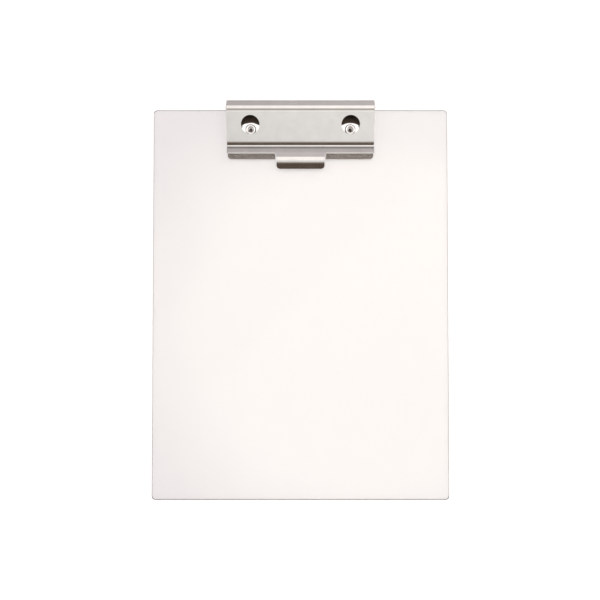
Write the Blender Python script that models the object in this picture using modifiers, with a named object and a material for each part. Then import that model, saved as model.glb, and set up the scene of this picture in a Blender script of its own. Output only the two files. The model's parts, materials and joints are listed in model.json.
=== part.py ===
"""Clipboard: a clear board with a sprung sheet-steel clip riveted along its top edge.

Metres, +Z up. The board lies on its back, +X is its width and +Y points to the clip. The origin
is under the middle of the whole object, on the surface that it lies on.

The clip is laid out in its own section plane: "ahead" is the distance beyond the board's top edge
(negative over the board) and "above" is the height over the board's front face.
"""

import math

import bmesh
import bpy
from mathutils import Matrix, Vector

MM = 0.001
REST_GAP = 0.3 * MM  # between pieces that touch
FIT_GAP = 0.15 * MM  # round a shank, and between stacked washers and heads

# Board
BOARD_WIDTH = 241 * MM
BOARD_LENGTH = 318 * MM
BOARD_THICKNESS = 3 * MM
BOARD_CORNER = 3 * MM
BOARD_EDGE = 0.4 * MM

# Cover: the outer face of its section, from the rear wall's foot to the bend of the lip
COVER_WIDTH = 119.8 * MM
COVER_SHEET = 0.8 * MM
REAR_OVERHANG = 6.0 * MM
REAR_WALL_FOOT = 1.2 * MM
REAR_SLOPE = math.radians(25)
REAR_BEND = 2.4 * MM
RIDGE_TOP = 11.9 * MM
RIDGE_REAR = 0.3 * MM
RIDGE_FRONT = -2.0 * MM
RIDGE_BEND = 1.1 * MM
STEP_FOOT = (-3.55 * MM, 11.1 * MM)
STEP_BEND = 0.6 * MM
PLATE_FRONT = (-27.9 * MM, 4.45 * MM)
PLATE_BEND = 6.0 * MM
GROOVE = (-30.15 * MM, 2.4 * MM)
GROOVE_BEND = 0.9 * MM
FLARE_START = (-32.4 * MM, 4.1 * MM)
FLARE_BEND = 10.0 * MM
CREST = (-37.2 * MM, 6.2 * MM)
CREST_BEND = 0.9 * MM
LIP_SLOPE = math.radians(56.5)
LIP_TIP_ABOVE = REST_GAP + COVER_SHEET * math.cos(LIP_SLOPE)
LIP_TIP = (CREST[0] - (CREST[1] - LIP_TIP_ABOVE) / math.tan(LIP_SLOPE), LIP_TIP_ABOVE)
LIP_CORNER = 3.0 * MM
LIP_INSET = 0.7 * MM  # the lip is this much narrower than the plate at each end

# Thumb tab, in the middle of the cover's front edge
TAB_WIDTH = 39.0 * MM
TAB_RELIEF = 1.2 * MM
TAB_TOP_REAR = -40.3 * MM
TAB_TOP_FRONT = -44.7 * MM
TAB_REAR_BEND = 1.3 * MM
TAB_FRONT_BEND = 5.5 * MM
TAB_TIP = -49.2 * MM
TAB_CORNER = 3.0 * MM

# Access holes over the rivets
HOLE_SPACING = 81.4 * MM
HOLE_RADIUS = 7.5 * MM
HOLE_AHEAD = -14.1 * MM

# Hinge
AXIS_AHEAD = 1.8 * MM
AXIS_ABOVE = 5.6 * MM
PIN_RADIUS = 1.5 * MM
PIN_HOLE_RADIUS = 1.57 * MM
PIN_HEAD_RADIUS = 2.3 * MM
PIN_HEAD_LENGTH = 0.7 * MM
PIN_HEAD_CHAMFER = 0.25 * MM
COVER_EAR_RADIUS = 3.3 * MM
COVER_EAR_REACH = -13.0 * MM
COVER_EAR_LOW = 0.6 * MM  # how far the ear's front end drops under the sheet's outer face
COVER_EAR_INSET = 0.2 * MM
COVER_EAR_ARC = (math.radians(-125), math.radians(0))
BASE_EAR_ARC = (math.radians(-40), math.radians(120))
EAR_SIDE_GAP = 0.5 * MM

# Base plate
BASE_SHEET = 1.0 * MM
BASE_REAR = -1.45 * MM
BASE_FRONT = -27.0 * MM
BASE_CORNER = 3.0 * MM
BASE_EAR_RADIUS = 2.9 * MM
BASE_EAR_REACH = -12.0 * MM
BASE_EAR_FOOT = -1.9 * MM
INNER_EAR_X = 11.0 * MM
UPSTAND_TOP = 3.6 * MM
UPSTAND_X = (15.0 * MM, 35.0 * MM)

# Torsion springs
WIRE_RADIUS = 0.6 * MM
COIL_RADIUS = 2.45 * MM
COIL_TURNS = 5
COIL_PITCH = 1.32 * MM
SPRING_X = 25.0 * MM
BASE_LEG_END = 1.1 * MM
COVER_LEG_END = 1.9 * MM
POINTS_PER_TURN = 12

# Rivets and washers
RIVET_SPACING = 81.4 * MM
RIVET_AHEAD = -16.7 * MM
SHANK_RADIUS = 2.6 * MM
RIVET_HEAD_RADIUS = 4.6 * MM
RIVET_HEAD_HEIGHT = 0.8 * MM
HEAD_RECESS = 0.1 * MM
ROLL_RADIUS = 4.5 * MM
ROLL_HEIGHT = 1.2 * MM
HOLLOW_RADIUS = 2.0 * MM
HOLLOW_DEPTH = 3.2 * MM
WASHER_RADIUS = 6.0 * MM
WASHER_THICKNESS = 0.5 * MM
COUNTERBORE_RADIUS = WASHER_RADIUS + FIT_GAP
COUNTERBORE_DEPTH = HEAD_RECESS + RIVET_HEAD_HEIGHT + WASHER_THICKNESS + 2 * FIT_GAP

# Where the clip's section plane lies in the object's frame
TOP_EDGE_Y = (BOARD_LENGTH - REAR_OVERHANG) / 2
FRONT_FACE_Z = BOARD_THICKNESS
AXIS_PLACE = Vector((0, TOP_EDGE_Y + AXIS_AHEAD, FRONT_FACE_Z + AXIS_ABOVE))

ROUND_SEGMENTS = 40
ROLL_SEGMENTS = 8
CORNER_STEPS = 6
ARC_STEP = math.radians(10)
SHARP_ANGLE = math.radians(35)
OVERCUT = 1.0 * MM
MERGE = 0.001 * MM


# ---------------------------------------------------------------- scene, materials, collections


def clear_scene():
    for obj in list(bpy.data.objects):
        bpy.data.objects.remove(obj, do_unlink=True)


def collection(name):
    made = bpy.data.collections.new(name)
    bpy.context.scene.collection.children.link(made)
    return made


def material(name, color, metallic, roughness, transmission=0.0, ior=1.5):
    made = bpy.data.materials.new(name)
    made.use_nodes = True
    shader = made.node_tree.nodes["Principled BSDF"]
    shader.inputs["Base Color"].default_value = (*color, 1.0)
    shader.inputs["Metallic"].default_value = metallic
    shader.inputs["Roughness"].default_value = roughness
    shader.inputs["Transmission Weight"].default_value = transmission
    shader.inputs["IOR"].default_value = ior
    return made


def helper(obj, cutters):
    """Keeps a cutter, or a shape that is joined to another, out of the render."""
    for owner in list(obj.users_collection):
        owner.objects.unlink(obj)
    cutters.objects.link(obj)
    obj.hide_render = True
    obj.display_type = "WIRE"
    return obj


def boolean(obj, other, operation):
    modifier = obj.modifiers.new(f"{operation.lower()}_{other.name}", "BOOLEAN")
    modifier.operation = operation
    modifier.solver = "EXACT"
    modifier.object = other


# ---------------------------------------------------------------- shapes


def mesh_object(name, bm, group):
    bmesh.ops.recalc_face_normals(bm, faces=bm.faces)
    mesh = bpy.data.meshes.new(name)
    bm.to_mesh(mesh)
    bm.free()
    obj = bpy.data.objects.new(name, mesh)
    group.objects.link(obj)
    return obj


def shade_round(obj):
    obj.data.shade_smooth()
    obj.data.set_sharp_from_angle(angle=SHARP_ANGLE)


def cylinder(name, radius, length, place, direction, group):
    """A closed cylinder of this length, with its middle at place."""
    bm = bmesh.new()
    bmesh.ops.create_cone(
        bm, cap_ends=True, segments=ROUND_SEGMENTS, radius1=radius, radius2=radius, depth=length
    )
    obj = mesh_object(name, bm, group)
    obj.rotation_mode = "QUATERNION"
    obj.rotation_quaternion = Vector((0, 0, 1)).rotation_difference(Vector(direction))
    obj.location = place
    return obj


def box(name, size, place, group):
    bm = bmesh.new()
    bmesh.ops.create_cube(bm, size=1.0, matrix=Matrix.Diagonal((*size, 1.0)))
    obj = mesh_object(name, bm, group)
    obj.location = place
    return obj


def arc(centre, radius, start, end):
    """Points round a centre from one angle to another, in steps of at most ARC_STEP."""
    steps = max(1, math.ceil(abs(end - start) / ARC_STEP))
    angles = [start + (end - start) * i / steps for i in range(steps + 1)]
    return [Vector((centre[0] + radius * math.cos(a), centre[1] + radius * math.sin(a))) for a in angles]


def bend(before, corner, after, radius):
    """The arc that rounds the corner of two straight stretches."""
    came = (Vector(corner) - Vector(before)).normalized()
    goes = (Vector(after) - Vector(corner)).normalized()
    turn = came.angle_signed(goes)
    start = Vector(corner) - came * radius * math.tan(abs(turn) / 2)
    side = math.copysign(1.0, -turn)
    centre = start + Vector((-came.y, came.x)) * radius * side
    first = math.atan2(start.y - centre.y, start.x - centre.x)
    return arc(centre, radius, first, first - turn)


def bent_path(corners):
    """Points along corners (ahead, above, bend radius), with each inner corner rounded."""
    points = [Vector(corners[0][:2])]
    for before, corner, after in zip(corners, corners[1:], corners[2:]):
        points += bend(before[:2], corner[:2], after[:2], corner[2])
    return [*points, Vector(corners[-1][:2])]


def in_frame(x, point):
    """A point of the clip's section plane, at x, in the object's frame."""
    return Vector((x, TOP_EDGE_Y + point[0], FRONT_FACE_Z + point[1]))


def section_plate(name, outline, x, thickness, group):
    """A plate that stands in the clip's section plane, with its middle at x."""
    curve = bpy.data.curves.new(name, "CURVE")
    curve.dimensions = "2D"
    curve.fill_mode = "BOTH"
    curve.extrude = thickness / 2
    spline = curve.splines.new("POLY")
    spline.points.add(len(outline) - 1)
    spline.use_cyclic_u = True
    for point, place in zip(spline.points, outline):
        point.co = (place[0], place[1], 0, 1)
    guide = bpy.data.objects.new(f"{name}_outline", curve)
    group.objects.link(guide)
    bpy.context.view_layer.update()
    graph = bpy.context.evaluated_depsgraph_get()
    mesh = bpy.data.meshes.new_from_object(guide.evaluated_get(graph))
    bpy.data.objects.remove(guide, do_unlink=True)
    bm = bmesh.new()
    bm.from_mesh(mesh)
    bpy.data.meshes.remove(mesh)
    bmesh.ops.remove_doubles(bm, verts=bm.verts, dist=MERGE)
    upright = Matrix(((0, 0, 1, 0), (1, 0, 0, 0), (0, 1, 0, 0), (0, 0, 0, 1)))
    bmesh.ops.transform(bm, matrix=Matrix.Translation(in_frame(x, (0, 0))) @ upright, verts=bm.verts)
    return mesh_object(name, bm, group)


def turned(name, profile, place, axis, group):
    """A solid of revolution. The profile's points are (radius, height), top to bottom."""
    bm = bmesh.new()
    points = [bm.verts.new((radius, 0, height)) for radius, height in profile]
    for upper, lower in zip(points, points[1:]):
        bm.edges.new((upper, lower))
    mesh = bpy.data.meshes.new(name)
    bm.to_mesh(mesh)
    bm.free()
    obj = bpy.data.objects.new(name, mesh)
    group.objects.link(obj)
    obj.location = place
    obj.rotation_mode = "QUATERNION"
    obj.rotation_quaternion = Vector((0, 0, 1)).rotation_difference(Vector(axis))
    screw = obj.modifiers.new("turn", "SCREW")
    screw.steps = ROUND_SEGMENTS
    screw.render_steps = ROUND_SEGMENTS
    screw.use_merge_vertices = True
    screw.merge_threshold = MERGE
    screw.use_smooth_shade = True
    return obj


def bore(obj, name, radius, x, ahead, low, high, cutters):
    """Cuts an upright hole, between two heights over the board's front face."""
    place = in_frame(x, (ahead, (low + high) / 2))
    cutter = cylinder(name, radius, high - low, place, (0, 0, 1), cutters)
    boolean(obj, helper(cutter, cutters), "DIFFERENCE")


# ---------------------------------------------------------------- board


def make_board(group, cutters):
    bm = bmesh.new()
    size = (BOARD_WIDTH, BOARD_LENGTH, BOARD_THICKNESS, 1.0)
    bmesh.ops.create_cube(bm, size=1.0, matrix=Matrix.Diagonal(size))
    upright = [e for e in bm.edges if abs(e.verts[0].co.z - e.verts[1].co.z) > BOARD_THICKNESS / 2]
    bmesh.ops.bevel(
        bm, geom=upright, offset=BOARD_CORNER, segments=6, profile=0.5, affect="EDGES", clamp_overlap=True
    )
    rim = [e for e in bm.edges if abs(e.verts[0].co.z - e.verts[1].co.z) < BOARD_THICKNESS / 2]
    bmesh.ops.bevel(
        bm, geom=rim, offset=BOARD_EDGE, segments=2, profile=0.5, affect="EDGES", clamp_overlap=True
    )
    board = mesh_object("board", bm, group)
    board.location = (0, TOP_EDGE_Y - BOARD_LENGTH / 2, BOARD_THICKNESS / 2)
    for side, x in rivet_places():
        bore(
            board, f"shank_hole_{side}", SHANK_RADIUS + FIT_GAP, x, RIVET_AHEAD,
            -BOARD_THICKNESS - OVERCUT, OVERCUT, cutters,
        )
        bore(
            board, f"counterbore_{side}", COUNTERBORE_RADIUS, x, RIVET_AHEAD,
            -BOARD_THICKNESS - OVERCUT, -BOARD_THICKNESS + COUNTERBORE_DEPTH, cutters,
        )
    return board


# ---------------------------------------------------------------- cover


def cover_corners():
    """The cover's outer section up to the crest: the corners, and the point where the lip's bend starts."""
    wall_top = RIDGE_TOP - (REAR_OVERHANG - RIDGE_REAR) * math.tan(REAR_SLOPE)
    corners = [
        (REAR_OVERHANG, REAR_WALL_FOOT, 0),
        (REAR_OVERHANG, wall_top, REAR_BEND),
        (RIDGE_REAR, RIDGE_TOP, RIDGE_BEND),
        (RIDGE_FRONT, RIDGE_TOP, RIDGE_BEND),
        (*STEP_FOOT, STEP_BEND),
        (*PLATE_FRONT, PLATE_BEND),
        (*GROOVE, GROOVE_BEND),
        (*FLARE_START, FLARE_BEND),
    ]
    lip_bend = bend(FLARE_START, CREST, LIP_TIP, CREST_BEND)
    return corners, lip_bend


def corner_rows(radius, length):
    """Rows across the round corners that end a stretch: (share of its length, how far the corner cuts in)."""
    angles = [math.pi / 2 * i / CORNER_STEPS for i in range(CORNER_STEPS + 1)]
    return [(1 - radius * (1 - math.sin(a)) / length, radius * (1 - math.cos(a))) for a in angles]


def extrude_row(bm, edges, point, limit):
    """Extrudes a row of edges to the next point of the section, no wider than limit each side."""
    made = bmesh.ops.extrude_edge_only(bm, edges=edges)["geom"]
    for vert in [g for g in made if isinstance(g, bmesh.types.BMVert)]:
        x = max(-limit, min(limit, vert.co.x))
        vert.co = in_frame(x, point)
    return [g for g in made if isinstance(g, bmesh.types.BMEdge) and along_x(g)]


def along_x(edge):
    first, second = (v.co for v in edge.verts)
    return abs(first.y - second.y) < MERGE and abs(first.z - second.z) < MERGE


def extrude_path(bm, edges, points, limit, corner):
    """Extrudes a row of edges along points, rounding the far corners of the last straight stretch."""
    for point in points[:-1]:
        edges = extrude_row(bm, edges, point, limit)
    start, tip = points[-2:]
    for share, cut in corner_rows(corner, (tip - start).length):
        edges = extrude_row(bm, edges, start.lerp(tip, share), limit - cut)


def between(edges, low, high):
    """The edges of a row whose middle lies between two distances from the centre line."""
    middles = {e: abs(e.verts[0].co.x + e.verts[1].co.x) / 2 for e in edges}
    return [e for e, middle in middles.items() if low < middle < high]


def make_cover(group, cutters):
    half = COVER_WIDTH / 2
    tab_half = TAB_WIDTH / 2
    relief = tab_half + TAB_RELIEF
    corners, lip_bend = cover_corners()
    bend_start = lip_bend[0]
    main = bent_path([*corners, (*bend_start, 0)])
    flare = (Vector(CREST) - Vector(FLARE_START)).normalized()
    tab_top = CREST[1] + (CREST[0] - TAB_TOP_REAR) * -flare.y / flare.x
    tab_tip = (TAB_TIP, tab_top - (TAB_TOP_FRONT - TAB_TIP))
    tab = bent_path([
        (*bend_start, 0),
        (TAB_TOP_REAR, tab_top, TAB_REAR_BEND),
        (TAB_TOP_FRONT, tab_top, TAB_FRONT_BEND),
        (*tab_tip, 0),
    ])

    bm = bmesh.new()
    columns = [-half, -relief, -tab_half, tab_half, relief, half]
    row = [bm.verts.new(in_frame(x, main[0])) for x in columns]
    edges = [bm.edges.new(pair) for pair in zip(row, row[1:])]
    for point in main[1:]:
        edges = extrude_row(bm, edges, point, half)
    tab_edges = between(edges, -tab_half, tab_half)
    lip_edges = between(edges, relief, half)
    extrude_path(bm, tab_edges, tab[1:], tab_half, TAB_CORNER)
    for side in (-1, 1):
        one_side = [e for e in lip_edges if e.verts[0].co.x * side > 0]
        extrude_path(bm, one_side, [*lip_bend[1:], Vector(LIP_TIP)], half - LIP_INSET, LIP_CORNER)
    cover = mesh_object("clip_cover", bm, group)
    if cover.data.polygons[0].normal.y < 0:
        cover.data.flip_normals()
    shell = cover.modifiers.new("sheet", "SOLIDIFY")
    shell.thickness = COVER_SHEET
    shell.offset = -1.0
    shell.use_even_offset = True
    add_cover_ears(cover, cutters)
    add_access_holes(cover, cutters)
    return cover


def add_cover_ears(cover, cutters):
    """The cover's ends are turned down at the rear into ears that hang on the hinge pin."""
    corners, _ = cover_corners()
    path = bent_path(corners[:6])
    above_pin = [p + inward(path, p) for p in path if p.y > AXIS_ABOVE and p.x > STEP_FOOT[0]]
    plate = (Vector(PLATE_FRONT) - Vector(STEP_FOOT)).normalized()
    reach = Vector(STEP_FOOT) + plate * (COVER_EAR_REACH - STEP_FOOT[0]) / plate.x
    drop = Vector((0, -COVER_EAR_LOW))
    lower = arc((AXIS_AHEAD, AXIS_ABOVE), COVER_EAR_RADIUS, *COVER_EAR_ARC)
    outline = [*above_pin, reach + drop / 2, reach + drop, *lower]
    for side, sign in (("left", -1), ("right", 1)):
        x = sign * ((COVER_WIDTH - COVER_SHEET) / 2 - COVER_EAR_INSET)
        ear = section_plate(f"cover_ear_{side}", outline, x, COVER_SHEET, cutters)
        boolean(cover, helper(ear, cutters), "UNION")
    add_pin_bore(cover, "cover_pin_bore", cutters)


def inward(path, point):
    """From a point of the outer section to the middle of the sheet."""
    index = path.index(point)
    before = path[max(index - 1, 0)]
    after = path[min(index + 1, len(path) - 1)]
    along = (after - before).normalized()
    return Vector((along.y, -along.x)) * -COVER_SHEET / 2


def add_pin_bore(obj, name, cutters):
    length = COVER_WIDTH + 2 * OVERCUT
    cutter = cylinder(name, PIN_HOLE_RADIUS, length, AXIS_PLACE, (1, 0, 0), cutters)
    boolean(obj, helper(cutter, cutters), "DIFFERENCE")


def add_access_holes(cover, cutters):
    plate = (Vector(STEP_FOOT) - Vector(PLATE_FRONT)).normalized()
    above = STEP_FOOT[1] + (HOLE_AHEAD - STEP_FOOT[0]) * plate.y / plate.x
    for side, sign in (("left", -1), ("right", 1)):
        place = in_frame(sign * HOLE_SPACING / 2, (HOLE_AHEAD, above))
        normal = (0, -plate.y, plate.x)
        depth = 2 * (COVER_SHEET + OVERCUT)
        cutter = cylinder(f"access_hole_{side}", HOLE_RADIUS, depth, place, normal, cutters)
        boolean(cover, helper(cutter, cutters), "DIFFERENCE")


# ---------------------------------------------------------------- base plate


def base_ear_outline():
    """An ear: a foot on the plate, and a round eye over the hinge axis."""
    low = REST_GAP
    eye = arc((AXIS_AHEAD, AXIS_ABOVE), BASE_EAR_RADIUS, *BASE_EAR_ARC)
    return [(BASE_EAR_FOOT, low), *eye, (BASE_EAR_REACH, low + BASE_SHEET), (BASE_EAR_REACH, low)]


def make_base_plate(group, cutters):
    ear_x = COVER_WIDTH / 2 - COVER_EAR_INSET - COVER_SHEET - EAR_SIDE_GAP - BASE_SHEET / 2
    half = ear_x + BASE_SHEET / 2
    middle = (BASE_REAR + BASE_FRONT) / 2
    bm = bmesh.new()
    size = (2 * half, BASE_REAR - BASE_FRONT, BASE_SHEET, 1.0)
    bmesh.ops.create_cube(bm, size=1.0, matrix=Matrix.Diagonal(size))
    front = [
        e for e in bm.edges
        if abs(e.verts[0].co.z - e.verts[1].co.z) > BASE_SHEET / 2 and e.verts[0].co.y < 0
    ]
    bmesh.ops.bevel(
        bm, geom=front, offset=BASE_CORNER, segments=4, profile=0.5, affect="EDGES", clamp_overlap=True
    )
    base = mesh_object("base_plate", bm, group)
    base.location = in_frame(0, (middle, REST_GAP + BASE_SHEET / 2))
    upstand_width = UPSTAND_X[1] - UPSTAND_X[0]
    for side, sign in (("left", -1), ("right", 1)):
        for place_name, x in (("outer", ear_x), ("inner", INNER_EAR_X)):
            name = f"base_ear_{place_name}_{side}"
            ear = section_plate(name, base_ear_outline(), sign * x, BASE_SHEET, cutters)
            boolean(base, helper(ear, cutters), "UNION")
        height = UPSTAND_TOP - REST_GAP
        place = in_frame(
            sign * sum(UPSTAND_X) / 2, (BASE_REAR - BASE_SHEET / 2, REST_GAP + height / 2)
        )
        upstand = box(f"upstand_{side}", (upstand_width, BASE_SHEET, height), place, cutters)
        boolean(base, helper(upstand, cutters), "UNION")
    add_pin_bore(base, "base_pin_bore", cutters)
    for side, x in rivet_places():
        bore(
            base, f"base_hole_{side}", SHANK_RADIUS + FIT_GAP, x, RIVET_AHEAD,
            -OVERCUT, REST_GAP + BASE_SHEET + OVERCUT, cutters,
        )
    return base


# ---------------------------------------------------------------- pin, springs, fasteners


def make_pin(group):
    """The pin's ends are swaged into low heads outside the cover's ears."""
    seat = COVER_WIDTH / 2 + REST_GAP
    end = seat + PIN_HEAD_LENGTH
    half = [
        (0, end),
        (PIN_HEAD_RADIUS - PIN_HEAD_CHAMFER, end),
        (PIN_HEAD_RADIUS, end - PIN_HEAD_CHAMFER),
        (PIN_HEAD_RADIUS, seat),
        (PIN_RADIUS, seat),
    ]
    profile = half + [(radius, -height) for radius, height in reversed(half)]
    return turned("hinge_pin", profile, AXIS_PLACE, (1, 0, 0), group)


def make_spring(name, sign, group):
    """A torsion spring round the pin. One leg bears on the base plate's upstand, the other on the rear wall."""
    turns = COIL_TURNS + 0.5
    width = turns * COIL_PITCH
    count = round(turns * POINTS_PER_TURN)
    ahead, above = AXIS_AHEAD, AXIS_ABOVE
    route = [(-width / 2, ahead - COIL_RADIUS, BASE_LEG_END)]
    for i in range(count + 1):
        angle = math.pi - 2 * math.pi * turns * i / count
        x = width * (i / count - 0.5)
        route.append((x, ahead + COIL_RADIUS * math.cos(angle), above + COIL_RADIUS * math.sin(angle)))
    route.append((width / 2, ahead + COIL_RADIUS, COVER_LEG_END))
    curve = bpy.data.curves.new(name, "CURVE")
    curve.dimensions = "3D"
    curve.bevel_depth = WIRE_RADIUS
    curve.bevel_resolution = 2
    curve.use_fill_caps = True
    spline = curve.splines.new("POLY")
    spline.points.add(len(route) - 1)
    for point, (x, y, z) in zip(spline.points, route):
        point.co = (*in_frame(sign * (SPRING_X + x), (y, z)), 1)
    spring = bpy.data.objects.new(name, curve)
    group.objects.link(spring)
    return spring


def rivet_places():
    return (("left", -RIVET_SPACING / 2), ("right", RIVET_SPACING / 2))


def make_rivet(name, x, group):
    """A semi-tubular rivet: flat head in the back's counterbore, hollow end rolled over on the base plate."""
    bottom = -BOARD_THICKNESS + HEAD_RECESS
    seat = REST_GAP + BASE_SHEET + FIT_GAP
    top = seat + ROLL_HEIGHT
    crown = (HOLLOW_RADIUS + ROLL_RADIUS) / 2
    roll_half = (ROLL_RADIUS - HOLLOW_RADIUS) / 2
    roll = [
        (crown - roll_half * math.cos(a), seat + ROLL_HEIGHT * math.sin(a))
        for a in [math.pi * i / ROLL_SEGMENTS for i in range(1, ROLL_SEGMENTS)]
    ]
    profile = [
        (0, top - HOLLOW_DEPTH),
        (HOLLOW_RADIUS, top - HOLLOW_DEPTH + HOLLOW_RADIUS / 2),
        (HOLLOW_RADIUS, seat),
        *roll,
        (ROLL_RADIUS, seat),
        (SHANK_RADIUS, seat),
        (SHANK_RADIUS, bottom + RIVET_HEAD_HEIGHT),
        (RIVET_HEAD_RADIUS, bottom + RIVET_HEAD_HEIGHT),
        (RIVET_HEAD_RADIUS, bottom + FIT_GAP),
        (RIVET_HEAD_RADIUS - FIT_GAP, bottom),
        (0, bottom),
    ]
    return turned(name, profile, in_frame(x, (RIVET_AHEAD, 0)), (0, 0, 1), group)


def make_washer(name, x, group, cutters):
    """Spreads the rivet head's load on the board, inside the counterbore."""
    low = -BOARD_THICKNESS + HEAD_RECESS + RIVET_HEAD_HEIGHT + FIT_GAP
    place = in_frame(x, (RIVET_AHEAD, low + WASHER_THICKNESS / 2))
    washer = cylinder(name, WASHER_RADIUS, WASHER_THICKNESS, place, (0, 0, 1), group)
    bore(
        washer, f"{name}_hole", SHANK_RADIUS + FIT_GAP, x, RIVET_AHEAD,
        low - OVERCUT, low + WASHER_THICKNESS + OVERCUT, cutters,
    )
    return washer


# ---------------------------------------------------------------- assembly


def main():
    clear_scene()
    parts = collection("clipboard")
    cutters = collection("clipboard_cutters")
    cutters.hide_render = True

    acrylic = material("clear_acrylic", (0.95, 0.96, 0.96), 0.0, 0.05, transmission=1.0, ior=1.49)
    nickel = material("bright_nickel_steel", (0.78, 0.77, 0.75), 1.0, 0.22)
    zinc = material("zinc_plated_steel", (0.62, 0.62, 0.62), 1.0, 0.35)
    spring_steel = material("spring_steel", (0.35, 0.34, 0.33), 1.0, 0.3)
    rivet_steel = material("rivet_steel", (0.85, 0.84, 0.82), 1.0, 0.18)

    axis = bpy.data.objects.new("hinge_axis", None)
    axis.location = AXIS_PLACE
    parts.objects.link(axis)

    board = make_board(parts, cutters)
    cover = make_cover(parts, cutters)
    cover.parent = axis
    cover.matrix_parent_inverse = Matrix.Translation(-AXIS_PLACE)
    base = make_base_plate(parts, cutters)
    pin = make_pin(parts)
    pieces = [(board, acrylic), (cover, nickel), (base, zinc), (pin, rivet_steel)]
    for side, sign in (("left", -1), ("right", 1)):
        pieces.append((make_spring(f"torsion_spring_{side}", sign, parts), spring_steel))
    for side, x in rivet_places():
        pieces.append((make_rivet(f"rivet_{side}", x, parts), rivet_steel))
        pieces.append((make_washer(f"back_washer_{side}", x, parts, cutters), zinc))
    for obj, finish in pieces:
        obj.data.materials.append(finish)
        if obj.type == "MESH":
            shade_round(obj)


main()
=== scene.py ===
"""The clipboard's looks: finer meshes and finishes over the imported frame. Metres, +Z up.

The clip is laid out in its own section plane: "ahead" is the distance beyond the board's top edge
(negative over the board) and "above" is the height over the board's front face.
"""

import json
import math

import bmesh
import bpy
from mathutils import Matrix, Vector


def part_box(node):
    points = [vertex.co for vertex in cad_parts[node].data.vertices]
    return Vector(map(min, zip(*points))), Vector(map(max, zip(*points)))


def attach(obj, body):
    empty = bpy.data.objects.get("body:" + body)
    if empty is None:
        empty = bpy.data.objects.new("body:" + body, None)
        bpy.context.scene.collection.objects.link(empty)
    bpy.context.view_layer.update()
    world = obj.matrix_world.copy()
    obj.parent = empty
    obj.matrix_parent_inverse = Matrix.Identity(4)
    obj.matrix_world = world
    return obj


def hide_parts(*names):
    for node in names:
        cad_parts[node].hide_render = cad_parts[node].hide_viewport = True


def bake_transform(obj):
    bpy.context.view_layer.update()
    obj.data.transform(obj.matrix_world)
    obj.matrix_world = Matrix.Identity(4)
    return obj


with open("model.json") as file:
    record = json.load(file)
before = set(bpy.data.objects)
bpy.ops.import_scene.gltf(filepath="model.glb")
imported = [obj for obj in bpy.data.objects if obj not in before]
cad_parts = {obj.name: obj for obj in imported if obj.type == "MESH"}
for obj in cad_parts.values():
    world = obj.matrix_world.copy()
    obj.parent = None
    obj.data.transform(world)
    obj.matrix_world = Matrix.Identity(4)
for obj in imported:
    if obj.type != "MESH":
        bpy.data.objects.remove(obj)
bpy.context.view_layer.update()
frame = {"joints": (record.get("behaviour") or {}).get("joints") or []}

MM = 0.001
BOARD_LOW, BOARD_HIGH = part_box("board")
TOP_EDGE_Y = BOARD_HIGH.y
FRONT_FACE_Z = BOARD_HIGH.z
HINGE = Vector(frame["joints"][0]["pos_m"])
AXIS_AHEAD = HINGE.y - TOP_EDGE_Y
AXIS_ABOVE = HINGE.z - FRONT_FACE_Z

MERGE = 0.001 * MM
ARC_STEP = math.radians(6)
ROUND_SEGMENTS = 64
HOLE_SEGMENTS = 96
SHARP_ANGLE = math.radians(50)
FOLD_ANGLE = math.radians(40)
OVERCUT = 1.0 * MM
REST_GAP = 0.3 * MM
FIT_GAP = 0.15 * MM

# Board
BOARD_CORNER = 3.0 * MM
BOARD_EDGE = 0.4 * MM
EDGE_NORMAL = 0.97
# How far in from the near and far ends the edges' painted shade fades.
EDGE_FADE = 6.0 * MM

# Cover: the outer face of its section
COVER_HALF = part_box("clip_cover")[1].x
COVER_SHEET = 0.8 * MM
COVER_DEBURR = 0.12 * MM
REAR_OVERHANG = 6.0 * MM
REAR_WALL_FOOT = 1.2 * MM
REAR_SLOPE = math.radians(25)
REAR_BEND = 2.4 * MM
RIDGE_TOP = 11.9 * MM
RIDGE_REAR = 0.3 * MM
RIDGE_FRONT = -2.0 * MM
RIDGE_BEND = 1.1 * MM
STEP_FOOT = (-3.55 * MM, 11.1 * MM)
STEP_BEND = 0.6 * MM
PLATE_FRONT = (-27.9 * MM, 4.45 * MM)
PLATE_BEND = 6.0 * MM
GROOVE = (-30.15 * MM, 2.4 * MM)
GROOVE_BEND = 0.9 * MM
FLARE_START = (-32.4 * MM, 4.1 * MM)
FLARE_BEND = 10.0 * MM
CREST = (-37.2 * MM, 6.2 * MM)
CREST_BEND = 0.9 * MM
LIP_SLOPE = math.radians(56.5)
LIP_TIP_ABOVE = REST_GAP + COVER_SHEET * math.cos(LIP_SLOPE)
LIP_TIP = (CREST[0] - (CREST[1] - LIP_TIP_ABOVE) / math.tan(LIP_SLOPE), LIP_TIP_ABOVE)
LIP_CORNER = 3.0 * MM
LIP_INSET = 0.7 * MM
LIP_NORMAL = -0.7
TAB_WIDTH = 39.0 * MM
TAB_RELIEF = 1.2 * MM
TAB_TOP_REAR = -40.3 * MM
TAB_TOP_FRONT = -44.7 * MM
TAB_REAR_BEND = 1.3 * MM
TAB_FRONT_BEND = 5.5 * MM
TAB_TIP = -49.2 * MM
TAB_CORNER = 3.0 * MM
CORNER_STEPS = 10
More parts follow.
